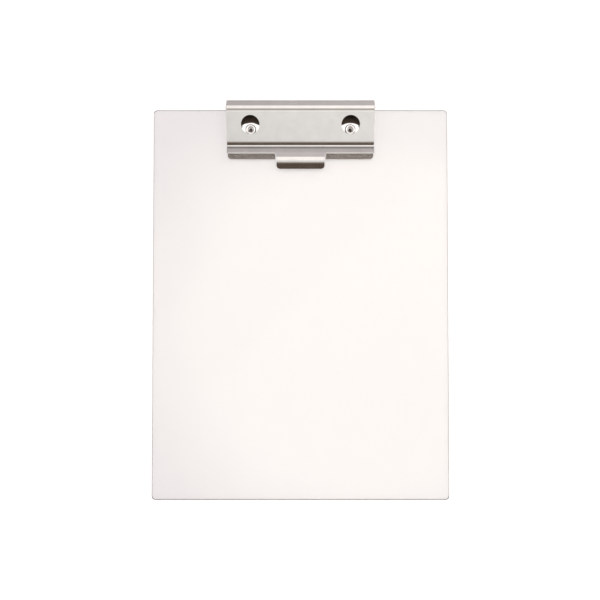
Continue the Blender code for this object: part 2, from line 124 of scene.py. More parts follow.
# Painted highlights and shade along the cover's section, multiplied into its colour: (ahead, level).
# Above 1 is a painted highlight at the step and the groove's bottom, below 1 painted shade before the
# groove and on the flare.
FOLD_LIGHT_AND_SHADE = (
    (-37.0 * MM, 1.0),
    (-35.5 * MM, 0.88),
    (-33.0 * MM, 0.82),
    (-32.5 * MM, 0.72),
    (-32.1 * MM, 0.40),
    (-31.2 * MM, 0.40),
    (-30.6 * MM, 0.75),
    (-30.3 * MM, 1.32),
    (-29.4 * MM, 1.32),
    (-29.0 * MM, 1.0),
    (-4.3 * MM, 1.0),
    (-3.8 * MM, 1.3),
    (-2.8 * MM, 1.25),
    (-2.3 * MM, 1.0),
)
HOLE_SPACING = 81.4 * MM
HOLE_RADIUS = 7.5 * MM
HOLE_AHEAD = -14.1 * MM

# Ears and hinge
EAR_FRONT = -13.0 * MM
EAR_REAR_ABOVE = 5.7 * MM
EAR_RADIUS = 3.3 * MM
EAR_ARC = (math.radians(-4), math.radians(-125))
PIN_RADIUS = 1.5 * MM
PIN_HOLE_RADIUS = 1.57 * MM
PIN_HEAD_RADIUS = 2.3 * MM
PIN_HEAD_LENGTH = 0.7 * MM
PIN_HEAD_DOME = 0.25 * MM
PIN_ROUNDING = 0.2 * MM

# Base plate
BASE_SHEET = 1.0 * MM
BASE_DEBURR = 0.15 * MM
BASE_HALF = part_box("base_plate")[1].x
BASE_REAR = -1.45 * MM
BASE_FRONT = -27.0 * MM
BASE_CORNER = 3.0 * MM
BASE_FOLD = 1.2 * MM
BASE_EAR_RADIUS = 2.9 * MM
BASE_EAR_REACH = -12.0 * MM
BASE_EAR_FOOT = -1.9 * MM
BASE_EAR_ARC = (math.radians(-40), math.radians(120))
INNER_EAR_X = 11.0 * MM
UPSTAND_TOP = 3.6 * MM
UPSTAND_X = (15.0 * MM, 35.0 * MM)
# Painted shade on the base plate: where its dark crescents end, round each rivet.
CRESCENT_ARC_RADIUS = 12.0 * MM
CRESCENT_ARC_BOW = 2.2 * MM
CRESCENT_SHADE_REACH = (7.5 * MM, 13.0 * MM)
CRESCENT_SHADE_BLUR = 0.3 * MM
CRESCENT_EDGE_Y = TOP_EDGE_Y - 11.0 * MM

# Springs
WIRE_RADIUS = 0.6 * MM
COIL_RADIUS = 2.45 * MM
COIL_TURNS = 5.5
COIL_PITCH = 1.32 * MM
SPRING_X = 25.0 * MM
BASE_LEG_END = 1.1 * MM
COVER_LEG_END = 1.9 * MM
POINTS_PER_TURN = 32

# Rivets and washers
RIVET_SPACING = 81.4 * MM
RIVET_AHEAD = -16.7 * MM
SHANK_RADIUS = 2.6 * MM
RIVET_HEAD_RADIUS = 4.6 * MM
RIVET_HEAD_HEIGHT = 0.8 * MM
HEAD_RECESS = 0.1 * MM
ROLL_RADIUS = 4.5 * MM
ROLL_HEIGHT = 1.2 * MM
ROLL_STEPS = 16
RIVET_ROUNDING = 0.15 * MM
HOLLOW_RADIUS = 2.0 * MM
HOLLOW_DEPTH = 3.2 * MM
# Painted shade in the rivet's hollow: the faces out to this radius take the dark finish.
HOLLOW_SHADE_RADIUS = 1.5 * MM
WASHER_RADIUS = 6.0 * MM
WASHER_THICKNESS = 0.5 * MM
WASHER_DEBURR = 0.08 * MM
COUNTERBORE_RADIUS = WASHER_RADIUS + FIT_GAP
COUNTERBORE_DEPTH = HEAD_RECESS + RIVET_HEAD_HEIGHT + WASHER_THICKNESS + 2 * FIT_GAP

SIDES = (("left", -1), ("right", 1))

# Stage
FLOOR_HALF = 12.0
FLOOR_DROP = 0.2 * MM
FLOOR_GLOW = 0.53
CAMERA_PLACE = (-0.4 * MM, -16.8 * MM, 600.8 * MM)
CAMERA_TILT = math.radians(1.6)
CAMERA_LENS = 44.0


# ---------------------------------------------------------------- lines of the section


def arc(centre, radius, start, end):
    """Points round a centre from one angle to another, in steps of at most ARC_STEP."""
    steps = max(1, math.ceil(abs(end - start) / ARC_STEP))
    angles = [start + (end - start) * i / steps for i in range(steps + 1)]
    return [Vector((centre[0] + radius * math.cos(a), centre[1] + radius * math.sin(a))) for a in angles]


def bend(before, corner, after, radius):
    """The arc that rounds the corner of two straight stretches."""
    came = (Vector(corner) - Vector(before)).normalized()
    goes = (Vector(after) - Vector(corner)).normalized()
    turn = came.angle_signed(goes)
    start = Vector(corner) - came * radius * math.tan(abs(turn) / 2)
    side = math.copysign(1.0, -turn)
    centre = start + Vector((-came.y, came.x)) * radius * side
    first = math.atan2(start.y - centre.y, start.x - centre.x)
    return arc(centre, radius, first, first - turn)


def bent_path(corners):
    """Points along corners (ahead, above, bend radius), with each inner corner rounded."""
    points = [Vector(corners[0][:2])]
    for before, corner, after in zip(corners, corners[1:], corners[2:]):
        points += bend(before[:2], corner[:2], after[:2], corner[2])
    return [*points, Vector(corners[-1][:2])]


def in_frame(x, point):
    """A point of the clip's section plane, at x, in the object's frame."""
    return Vector((x, TOP_EDGE_Y + point[0], FRONT_FACE_Z + point[1]))


# ---------------------------------------------------------------- meshes


def finished(name, bm, body, node, materials):
    """A mesh object in the frame that stands for a CAD node and moves with its body."""
    mesh = bpy.data.meshes.new(name)
    bm.to_mesh(mesh)
    bm.free()
    obj = bpy.data.objects.new(name, mesh)
    bpy.context.scene.collection.objects.link(obj)
    for material in materials:
        mesh.materials.append(material)
    mesh.shade_smooth()
    if body:
        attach(obj, body)
    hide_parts(node)
    return obj


def grid(bm, rows):
    """Quads between rows of points. Patches that share points are merged afterwards."""
    made = [[bm.verts.new(p) for p in row] for row in rows]
    for upper, lower in zip(made, made[1:]):
        for p, q, r, s in zip(upper, upper[1:], lower[1:], lower):
            bm.faces.new((p, q, r, s))


def weld(bm):
    """Merges the patches of a sheet's outer skin, and turns its faces so that the top one points up."""
    bmesh.ops.remove_doubles(bm, verts=bm.verts, dist=MERGE)
    bmesh.ops.recalc_face_normals(bm, faces=bm.faces)
    top = max(bm.faces, key=lambda f: f.calc_center_median().z)
    if top.normal.z < 0:
        bmesh.ops.reverse_faces(bm, faces=bm.faces)


def thicken(obj, thickness):
    shell = obj.modifiers.new("sheet", "SOLIDIFY")
    shell.thickness = thickness
    shell.offset = -1.0
    shell.use_even_offset = True


def soften(obj, width, segments=3):
    """Rounds the sheared edges."""
    bevel = obj.modifiers.new("deburred", "BEVEL")
    bevel.width = width
    bevel.segments = segments
    bevel.limit_method = "ANGLE"
    bevel.angle_limit = SHARP_ANGLE
    bevel.miter_outer = "MITER_ARC"
    bevel.use_clamp_overlap = True


def keep_flats(obj):
    """Shades the flat faces flat beside their rounded edges."""
    weighted = obj.modifiers.new("flats", "WEIGHTED_NORMAL")
    weighted.mode = "FACE_AREA"
    weighted.weight = 90
    weighted.keep_sharp = True


def cut(obj, bm, name, operation="DIFFERENCE"):
    """Cuts a closed mesh from an object, or joins it, with a modifier that is applied at once."""
    mesh = bpy.data.meshes.new(name)
    bm.to_mesh(mesh)
    bm.free()
    cutter = bpy.data.objects.new(name, mesh)
    bpy.context.scene.collection.objects.link(cutter)
    modifier = obj.modifiers.new(name, "BOOLEAN")
    modifier.operation = operation
    modifier.solver = "EXACT"
    modifier.object = cutter
    apply_modifiers(obj)
    bpy.data.objects.remove(cutter, do_unlink=True)


def apply_modifiers(obj):
    graph = bpy.context.evaluated_depsgraph_get()
    graph.update()
    mesh = bpy.data.meshes.new_from_object(obj.evaluated_get(graph))
    obj.modifiers.clear()
    old = obj.data
    obj.data = mesh
    bpy.data.meshes.remove(old)


def rod(radius, length, place, direction, segments=ROUND_SEGMENTS):
    """A closed cylinder with its middle at place."""
    bm = bmesh.new()
    turn = Vector((0, 0, 1)).rotation_difference(Vector(direction)).to_matrix().to_4x4()
    bmesh.ops.create_cone(
        bm, cap_ends=True, segments=segments, radius1=radius, radius2=radius, depth=length,
        matrix=Matrix.Translation(place) @ turn,
    )
    return bm


def turned(profile, place, direction):
    """A solid of revolution. The profile's points are (radius, height), and both ends are on the axis."""
    bm = bmesh.new()
    turn = Vector((0, 0, 1)).rotation_difference(Vector(direction)).to_matrix().to_4x4()
    points = [bm.verts.new((radius, 0, height)) for radius, height in profile]
    edges = [bm.edges.new(pair) for pair in zip(points, points[1:])]
    bmesh.ops.spin(
        bm, geom=points + edges, cent=(0, 0, 0), axis=(0, 0, 1), angle=2 * math.pi, steps=ROUND_SEGMENTS,
        use_merge=True,
    )
    bmesh.ops.remove_doubles(bm, verts=bm.verts, dist=MERGE)
    bmesh.ops.recalc_face_normals(bm, faces=bm.faces)
    bmesh.ops.transform(bm, matrix=Matrix.Translation(place) @ turn, verts=bm.verts)
    return bm


def rounded(profile, radius):
    """A turned profile with each inner corner rounded by at most this radius."""
    points = [Vector(profile[0])]
    for before, corner, after in zip(profile, profile[1:], profile[2:]):
        reach = min((Vector(corner) - Vector(p)).length for p in (before, after)) / 2
        came = (Vector(corner) - Vector(before)).normalized()
        goes = (Vector(after) - Vector(corner)).normalized()
        half_turn = came.angle(goes) / 2
        fit = min(radius, reach * 0.9 / max(math.tan(half_turn), 0.01))
        points += bend(before, corner, after, fit)
    return [*points, Vector(profile[-1])]


# ---------------------------------------------------------------- node materials

RANGE_SOCKETS = ("From Min", "From Max", "To Min", "To Max")


class Nodes:
    """Short names for building one material's nodes."""

    def __init__(self, name):
        self.material = bpy.data.materials.new(name)
        self.material.use_nodes = True
        self.tree = self.material.node_tree
        self.shader = self.tree.nodes["Principled BSDF"]
        self.coords = self.tree.nodes.new("ShaderNodeTexCoord").outputs["Object"]

    def link(self, output, target):
        self.tree.links.new(output, target)

    def fixed(self, **values):
        for name, value in values.items():
            self.shader.inputs[name.replace("_", " ")].default_value = value

    def placed(self, scale, turn=0.0, place=(0.0, 0.0, 0.0)):
        """The object's coordinates, stretched, turned about Z and moved."""
        mapping = self.tree.nodes.new("ShaderNodeMapping")
        mapping.inputs["Location"].default_value = place
        mapping.inputs["Scale"].default_value = scale
        mapping.inputs["Rotation"].default_value = (0, 0, turn)
        self.link(self.coords, mapping.inputs["Vector"])
        return mapping.outputs["Vector"]

    def noise(self, vector, scale, detail=3.0, roughness=0.5, distortion=0.0):
        node = self.tree.nodes.new("ShaderNodeTexNoise")
        node.inputs["Scale"].default_value = scale
        node.inputs["Detail"].default_value = detail
        node.inputs["Roughness"].default_value = roughness
        node.inputs["Distortion"].default_value = distortion
        self.link(vector, node.inputs["Vector"])
        return node.outputs["Fac"]

    def cells(self, vector, scale):
        node = self.tree.nodes.new("ShaderNodeTexVoronoi")
        node.inputs["Scale"].default_value = scale
        self.link(vector, node.inputs["Vector"])
        return node.outputs["Distance"]

    def between(self, value, low, high, to_low, to_high):
        """Maps a value from one range to another, clamped."""
        node = self.tree.nodes.new("ShaderNodeMapRange")
        for socket, number in zip(RANGE_SOCKETS, (low, high, to_low, to_high)):
            node.inputs[socket].default_value = number
        self.link(value, node.inputs["Value"])
        return node.outputs["Result"]

    def math(self, operation, first, second):
        node = self.tree.nodes.new("ShaderNodeMath")
        node.operation = operation
        for slot, value in enumerate((first, second)):
            if isinstance(value, (int, float)):
                node.inputs[slot].default_value = value
            else:
                self.link(value, node.inputs[slot])
        return node.outputs["Value"]

    def along(self, axis):
        """One of the object's coordinates: X, Y or Z."""
        node = self.tree.nodes.new("ShaderNodeSeparateXYZ")
        self.link(self.coords, node.inputs["Vector"])
        return node.outputs[axis]

    def length(self, vector):
        node = self.tree.nodes.new("ShaderNodeVectorMath")
        node.operation = "LENGTH"
        self.link(vector, node.inputs[0])
        return node.outputs["Value"]

    def mix(self, factor, first, second, blend="MIX"):
        """Two colours, each a colour or an output, mixed by a number or an output."""
        node = self.tree.nodes.new("ShaderNodeMix")
        node.data_type = "RGBA"
        node.blend_type = blend
        if isinstance(factor, float):
            node.inputs["Factor"].default_value = factor
        else:
            self.link(factor, node.inputs["Factor"])
        for slot, value in ((6, first), (7, second)):
            if isinstance(value, tuple):
                node.inputs[slot].default_value = (*value, 1.0)
            else:
                self.link(value, node.inputs[slot])
        return node.outputs[2]

    def bump(self, height, distance, strength=1.0, under=None):
        node = self.tree.nodes.new("ShaderNodeBump")
        node.inputs["Strength"].default_value = strength
        node.inputs["Distance"].default_value = distance
        self.link(height, node.inputs["Height"])
        if under:
            self.link(under, node.inputs["Normal"])
        return node.outputs["Normal"]

    def scratches(self, turn, scale, cover):
        """Fine straight scratches along one direction: 1 on a scratch, 0 elsewhere."""
        lines = self.noise(self.placed((1.0, 22.0, 22.0), turn), scale, 2.0, 0.6)
        patches = self.noise(self.coords, scale * 0.5, 1.0)
        thin = self.between(lines, 1.0 - cover, 1.0 - cover + 0.03, 0.0, 1.0)
        where = self.between(patches, 0.45, 0.6, 0.0, 1.0)
        return self.math("MULTIPLY", thin, where)


def painted_fold_light(n, color):
    """Painted highlights at the step and in the groove's bottom, and painted shade before the groove and
    on the flare.
    """
    ramp = n.tree.nodes.new("ShaderNodeValToRGB")
    stops = ramp.color_ramp.elements
    first, last = FOLD_LIGHT_AND_SHADE[0][0], FOLD_LIGHT_AND_SHADE[-1][0]
    for index, (ahead, level) in enumerate(FOLD_LIGHT_AND_SHADE):
        stop = stops[index] if index < len(stops) else stops.new(1.0)
        stop.position = (ahead - first) / (last - first)
        stop.color = (level, level, level, 1.0)
    share = n.between(n.along("Y"), TOP_EDGE_Y + first, TOP_EDGE_Y + last, 0.0, 1.0)
    n.link(share, ramp.inputs["Fac"])
    return n.mix(1.0, color, ramp.outputs["Color"], "MULTIPLY")


def brushed_metal(name, bright, dull, roughness, grain):
    """Sheet metal with a rolled grain along X, cloudy patches, smudges and fine scratches, and painted
    highlights and shade along the cover's folds.
    """
    n = Nodes(name)
    n.fixed(Metallic=1.0)
    cloud = n.noise(n.coords, 90.0, 4.0, 0.55)
    color = n.mix(n.between(cloud, 0.35, 0.7, 0.0, 1.0), bright, dull)
    n.link(painted_fold_light(n, color), n.shader.inputs["Base Color"])
    rolled = n.noise(n.placed((1.0, 45.0, 45.0)), 160.0, 5.0, 0.6)
    smudge = n.noise(n.coords, 140.0, 3.0, 0.5, 0.8)
    scratch = n.math("MAXIMUM", n.scratches(0.35, 60.0, 0.33), n.scratches(-0.8, 75.0, 0.32))
    rough = n.between(rolled, 0.3, 0.7, roughness - 0.03, roughness + 0.04)
    rough = n.math("ADD", rough, n.between(smudge, 0.5, 0.75, 0.0, 0.06))
    rough = n.math("ADD", rough, n.math("MULTIPLY", scratch, 0.12))
    n.link(rough, n.shader.inputs["Roughness"])
    speck = n.noise(n.coords, 2600.0, 2.0, 0.6)
    normal = n.bump(rolled, grain)
    normal = n.bump(speck, grain * 0.3, under=normal)
    normal = n.bump(scratch, 0.004 * MM, -0.5, under=normal)
    n.link(normal, n.shader.inputs["Normal"])
    return n.material


def turned_metal(name, bright, dull, roughness):
    """Bright drawn or turned steel with faint tool marks and handling wear."""
    n = Nodes(name)
    n.fixed(Metallic=1.0)
    cloud = n.noise(n.coords, 320.0, 3.0, 0.5)
    n.link(n.mix(n.between(cloud, 0.4, 0.65, 0.0, 1.0), bright, dull), n.shader.inputs["Base Color"])
    marks = n.noise(n.placed((1.0, 1.0, 7.0)), 900.0, 4.0, 0.6)
    n.link(n.between(marks, 0.3, 0.7, roughness - 0.04, roughness + 0.08), n.shader.inputs["Roughness"])
    n.link(n.bump(marks, 0.006 * MM), n.shader.inputs["Normal"])
    return n.material


def painted_crescent_shade(n):
    """Painted shade: 1 in a dark crescent on the hinge's side of each rivet, where the cover's shadow and
    the reflection of its underside fall on the base plate, and 0 elsewhere.
    """
    ragged = n.between(n.noise(n.coords, 180.0), 0.3, 0.7, -CRESCENT_SHADE_BLUR, CRESCENT_SHADE_BLUR)
    edge = n.math("ADD", n.along("Y"), ragged)
    aside = n.math("SUBTRACT", n.math("ABSOLUTE", n.along("X"), 0.0), RIVET_SPACING / 2)
    bow = n.math("MULTIPLY", n.math("MULTIPLY", aside, aside), 1 / (2 * CRESCENT_ARC_RADIUS))
    bow = n.math("MINIMUM", bow, CRESCENT_ARC_BOW)
    shade_and_film = n.between(n.math("ADD", edge, bow), CRESCENT_EDGE_Y - CRESCENT_SHADE_BLUR, CRESCENT_EDGE_Y + CRESCENT_SHADE_BLUR, 0.0, 1.0)
    near_rivet = n.between(n.math("ABSOLUTE", aside, 0.0), *CRESCENT_SHADE_REACH, 1.0, 0.0)
    return n.math("MULTIPLY", shade_and_film, near_rivet)


def zinc_plate(name, bright, dull, roughness, painted_shade=False):
    """Zinc plate with a fine spangle, and with painted shade, dark crescents on the hinge's side of the
    rivets, where that is asked for.
    """
    n = Nodes(name)
    n.fixed(Metallic=1.0)
    spangle = n.cells(n.coords, 650.0)
    color = n.mix(n.between(spangle, 0.1, 0.8, 0.0, 1.0), bright, dull)
    rough = n.between(spangle, 0.0, 0.8, roughness, roughness + 0.06)
    if painted_shade:
        shade_and_film = painted_crescent_shade(n)
        # Painted shade: near-black and a little rougher in the crescents.
        color = n.mix(shade_and_film, color, (0.06, 0.045, 0.035))
        rough = n.math("ADD", rough, n.math("MULTIPLY", shade_and_film, 0.2))
    n.link(color, n.shader.inputs["Base Color"])
    n.link(rough, n.shader.inputs["Roughness"])
    grain = n.noise(n.coords, 1800.0, 3.0, 0.6)
    n.link(n.bump(grain, 0.01 * MM, under=n.bump(spangle, 0.004 * MM)), n.shader.inputs["Normal"])
    return n.material


def spring_steel(name):
    """Oiled spring wire, with drawing lines along X and patches of dark film."""
    n = Nodes(name)
    n.fixed(Metallic=1.0)
    shade_and_film = n.noise(n.coords, 700.0, 4.0, 0.6)
    n.link(n.mix(n.between(shade_and_film, 0.4, 0.7, 0.0, 1.0), (0.42, 0.40, 0.38), (0.20, 0.18, 0.16)),
           n.shader.inputs["Base Color"])
    drawn = n.noise(n.placed((1.0, 8.0, 8.0)), 2500.0, 3.0, 0.5)
    n.link(n.between(drawn, 0.3, 0.7, 0.22, 0.38), n.shader.inputs["Roughness"])
    n.link(n.bump(drawn, 0.008 * MM), n.shader.inputs["Normal"])
    return n.material


def clear_acrylic(name, tint, shade, roughness):
    """Clear cast acrylic: a tint that turns to painted shade away from one place, darkest at the left
    corners, with fine scratches and a light haze.
    """
    n = Nodes(name)
    n.fixed(IOR=1.49, Transmission_Weight=1.0)
    # Painted shade: the tint darkens with the distance from a place right of the board's middle.
    reach = n.length(n.placed((1 / 0.17, 1 / 0.16, 0.0), place=(-0.3, 0.12, 0.0)))
    cloud = n.noise(n.coords, 9.0, 3.0, 0.5, 0.5)
    reach = n.math("ADD", reach, n.between(cloud, 0.3, 0.7, -0.06, 0.06))
    n.link(n.mix(n.between(reach, 0.8, 1.35, 0.0, 1.0), tint, shade), n.shader.inputs["Base Color"])
    hair = n.math("MAXIMUM", n.scratches(0.2, 28.0, 0.31), n.scratches(-1.1, 34.0, 0.31))
    haze = n.noise(n.coords, 38.0, 5.0, 0.6)
    rough = n.math("ADD", n.between(haze, 0.45, 0.75, roughness, roughness + 0.03),
                   n.math("MULTIPLY", hair, 0.10))
    n.link(rough, n.shader.inputs["Roughness"])
    wave = n.noise(n.coords, 9.0, 1.0)
    n.link(n.bump(hair, 0.003 * MM, -0.4, under=n.bump(wave, 0.02 * MM)), n.shader.inputs["Normal"])
    return n.material


def shaded_sawn_edge(name, far, sides, near):
    """The board's polished edges, with saw marks; their colour is painted shade: the sides darker than
    the faces and the near end darkest, the far end left light.
    """
    n = Nodes(name)
    n.fixed(IOR=1.49, Transmission_Weight=0.85)
    at_near = n.between(n.along("Y"), BOARD_LOW.y, BOARD_LOW.y + EDGE_FADE, 1.0, 0.0)
    at_far = n.between(n.along("Y"), BOARD_HIGH.y - EDGE_FADE, BOARD_HIGH.y, 0.0, 1.0)
    n.link(n.mix(at_far, n.mix(at_near, sides, near), far), n.shader.inputs["Base Color"])
    saw = n.noise(n.placed((1.0, 1.0, 0.15)), 1400.0, 3.0, 0.6)
    n.link(n.between(saw, 0.3, 0.7, 0.12, 0.3), n.shader.inputs["Roughness"])
    n.link(n.bump(saw, 0.006 * MM), n.shader.inputs["Normal"])
    return n.material


# ---------------------------------------------------------------- board


def outline_prism(bm, outline, low, high):
    """A closed prism on an outline of (x, y) points."""
    rings = [[bm.verts.new((x, y, z)) for x, y in outline] for z in (low, high)]
    bm.faces.new(list(reversed(rings[0])))
    bm.faces.new(rings[1])
    for i in range(len(outline)):
        j = (i + 1) % len(outline)
        bm.faces.new((rings[0][i], rings[0][j], rings[1][j], rings[1][i]))


def rounded_rectangle(low, high, radius):
    corners = (
        ((high.x - radius, high.y - radius), 0),
        ((low.x + radius, high.y - radius), 1),
        ((low.x + radius, low.y + radius), 2),
        ((high.x - radius, low.y + radius), 3),
    )
    points = []
    for centre, quarter in corners:
        points += arc(centre, radius, quarter * math.pi / 2, (quarter + 1) * math.pi / 2)
    return points


def make_board(faces, edges):
    bm = bmesh.new()
    outline = rounded_rectangle(BOARD_LOW, BOARD_HIGH, BOARD_CORNER)
    outline_prism(bm, outline, BOARD_LOW.z, BOARD_HIGH.z)
    board = finished("acrylic_board", bm, "board_assembly", "board", [faces, edges])
    soften(board, BOARD_EDGE, 4)
    apply_modifiers(board)
    for side, x in rivet_places():
        place = in_frame(x, (RIVET_AHEAD, -FRONT_FACE_Z / 2))
        cut(board, rod(SHANK_RADIUS + FIT_GAP, FRONT_FACE_Z + OVERCUT, place, (0, 0, 1)), f"hole_{side}")
        depth = COUNTERBORE_DEPTH + OVERCUT
        place = in_frame(x, (RIVET_AHEAD, COUNTERBORE_DEPTH - depth / 2 - FRONT_FACE_Z))
        cut(board, rod(COUNTERBORE_RADIUS, depth, place, (0, 0, 1)), f"counterbore_{side}")
    board.data.set_sharp_from_angle(angle=FOLD_ANGLE)
    for polygon in board.data.polygons:
        polygon.material_index = int(abs(polygon.normal.z) < EDGE_NORMAL)
    keep_flats(board)
    apply_modifiers(board)
    return board


# ---------------------------------------------------------------- cover


def cover_section():
    """The cover's outer section from the rear wall's foot to where the lip's bend starts."""
    wall_top = RIDGE_TOP - (REAR_OVERHANG - RIDGE_REAR) * math.tan(REAR_SLOPE)
    lip_bend = bend(FLARE_START, CREST, LIP_TIP, CREST_BEND)
    path = bent_path([
        (REAR_OVERHANG, REAR_WALL_FOOT, 0),
        (REAR_OVERHANG, wall_top, REAR_BEND),
        (RIDGE_REAR, RIDGE_TOP, RIDGE_BEND),
        (RIDGE_FRONT, RIDGE_TOP, RIDGE_BEND),
        (*STEP_FOOT, STEP_BEND),
        (*PLATE_FRONT, PLATE_BEND),
        (*GROOVE, GROOVE_BEND),
        (*FLARE_START, FLARE_BEND),
        (*lip_bend[0], 0),
    ])
    return path, lip_bend


def tab_section(start):
    flare = (Vector(CREST) - Vector(FLARE_START)).normalized()
    top = CREST[1] + (CREST[0] - TAB_TOP_REAR) * -flare.y / flare.x
    return bent_path([
        (*start, 0),
        (TAB_TOP_REAR, top, TAB_REAR_BEND),
        (TAB_TOP_FRONT, top, TAB_FRONT_BEND),
        (TAB_TIP, top - (TAB_TOP_FRONT - TAB_TIP), 0),
    ])


def with_station(path, fraction_of):
    """Adds a point to a path where a straight stretch crosses a line. fraction_of says how far along."""
    points = [path[0]]
    for before, after in zip(path, path[1:]):
        share = fraction_of(before, after)
        if share is not None and 0.001 < share < 0.999:
            points.append(before.lerp(after, share))
        points.append(after)
    return points


def crossing(axis, value):
    """Where a stretch crosses a given ahead (axis 0) or above (axis 1)."""
    def share(before, after):
        run = after[axis] - before[axis]
        return (value - before[axis]) / run if abs(run) > MERGE else None
    return share


def corner_rows(radius, length):
    """Rows across the round corners that end a stretch: (share of its length, the corner's cut)."""
    angles = [math.pi / 2 * i / CORNER_STEPS for i in range(CORNER_STEPS + 1)]
    return [(1 - radius * (1 - math.sin(a)) / length, radius * (1 - math.cos(a))) for a in angles]


def end_rows(path, corner):
    """A path's points with how far its round end corners cut in: (point, cut)."""
    start, tip = path[-2:]
    rows = [(point, 0.0) for point in path[:-1]]
    round_end = corner_rows(corner, (tip - start).length)
    return rows + [(start.lerp(tip, share), cut_in) for share, cut_in in round_end]


def ear_patch(bm, stretch, sign):
    """The flat ear below a stretch of the section, at the cover's end. It hangs on the pin."""
    lower = arc((AXIS_AHEAD, AXIS_ABOVE), EAR_RADIUS, *EAR_ARC)
    outline = [*stretch, *reversed(lower)]
    bm.faces.new([bm.verts.new(in_frame(sign * COVER_HALF, p)) for p in outline])


def make_cover(material, lip_material):
    path, lip_bend = cover_section()
    path = with_station(path, crossing(1, EAR_REAR_ABOVE))
    ear_front = next(i for i, p in enumerate(path) if p.x < EAR_FRONT)
    share = crossing(0, EAR_FRONT)(path[ear_front - 1], path[ear_front])
    path.insert(ear_front, path[ear_front - 1].lerp(path[ear_front], share))
    low = next(i for i, p in enumerate(path) if p.y > EAR_REAR_ABOVE - MERGE)
    tab_half = TAB_WIDTH / 2
    relief = tab_half + TAB_RELIEF

    bm = bmesh.new()
    columns = [-COVER_HALF, -relief, -tab_half, tab_half, relief, COVER_HALF]
    grid(bm, [[in_frame(x, p) for x in columns] for p in path])
    lip = end_rows([*lip_bend, Vector(LIP_TIP)], LIP_CORNER)
    tab = end_rows(tab_section(lip_bend[0]), TAB_CORNER)
    grid(bm, [[in_frame(x, p) for x in (cut - tab_half, tab_half - cut)] for p, cut in tab])
    for _, sign in SIDES:
        ear_patch(bm, path[low:ear_front + 1], sign)
        rows = []
        for index, (point, cut_in) in enumerate(lip):
            outer = COVER_HALF - (cut_in + LIP_INSET if index else 0)
            rows.append([in_frame(sign * x, point) for x in (relief, outer)])
        grid(bm, rows)
    weld(bm)
    cover = finished("nickel_cover", bm, None, "clip_cover", [material, lip_material])
    thicken(cover, COVER_SHEET)
    apply_modifiers(cover)
    cut_cover_holes(cover)
    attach(cover, "cover")
    cover.data.set_sharp_from_angle(angle=FOLD_ANGLE)
    # Painted shade: the lip's steep faces beside the tab that face the near end take the darker nickel,
    # which stands in for the dark reflection they show.
    for polygon in cover.data.polygons:
        beside_tab = abs(polygon.center.x) > TAB_WIDTH / 2
        before_crest = polygon.center.y < TOP_EDGE_Y + CREST[0]
        polygon.material_index = int(beside_tab and before_crest and polygon.normal.y < LIP_NORMAL)
    soften(cover, COVER_DEBURR)
    keep_flats(cover)
    apply_modifiers(cover)
    return cover


def cut_cover_holes(cover):
    length = 2 * COVER_HALF + 2 * OVERCUT
    cut(cover, rod(PIN_HOLE_RADIUS, length, HINGE, (1, 0, 0)), "pin_bore")
    plate = (Vector(STEP_FOOT) - Vector(PLATE_FRONT)).normalized()
    above = STEP_FOOT[1] + (HOLE_AHEAD - STEP_FOOT[0]) * plate.y / plate.x
    for side, sign in SIDES:
        place = in_frame(sign * HOLE_SPACING / 2, (HOLE_AHEAD, above))
        depth = 2 * (COVER_SHEET + OVERCUT)
        drill = rod(HOLE_RADIUS, depth, place, (0, -plate.y, plate.x), HOLE_SEGMENTS)
        cut(cover, drill, f"access_hole_{side}")


# ---------------------------------------------------------------- base plate


def flat_plate(outline, x, thickness):
    """A closed plate that stands in the clip's section plane, with its middle at x."""
    bm = bmesh.new()
    rings = [
        [bm.verts.new(in_frame(x + side * thickness / 2, p)) for p in outline] for side in (-1, 1)
    ]
    bm.faces.new(rings[0])
    bm.faces.new(list(reversed(rings[1])))
    for i in range(len(outline)):
        j = (i + 1) % len(outline)
        bm.faces.new((rings[0][j], rings[0][i], rings[1][i], rings[1][j]))
    bmesh.ops.recalc_face_normals(bm, faces=bm.faces)
    return bm


def base_ear_outline():
    """An ear: a foot on the plate, and a round eye over the hinge axis."""
    eye = arc((AXIS_AHEAD, AXIS_ABOVE), BASE_EAR_RADIUS, *BASE_EAR_ARC)
    foot = Vector((BASE_EAR_FOOT, REST_GAP))
    reach = [Vector((BASE_EAR_REACH, above)) for above in (REST_GAP + BASE_SHEET, REST_GAP)]
    return [foot, *eye, *reach]


def upstand_outline():
    """The lip that a spring's leg bears on: turned up from the plate's rear edge with a round fold."""
    fold = bend((BASE_FRONT, REST_GAP), (BASE_REAR, REST_GAP), (BASE_REAR, UPSTAND_TOP), BASE_FOLD)
    inner = BASE_REAR - BASE_SHEET
    ends = [(BASE_REAR, UPSTAND_TOP), (inner, UPSTAND_TOP), (inner, REST_GAP + BASE_SHEET / 2)]
    foot = (BASE_REAR - 2 * BASE_FOLD, REST_GAP + BASE_SHEET / 2)
    return [Vector((foot[0], REST_GAP)), *fold, *map(Vector, ends), Vector(foot)]


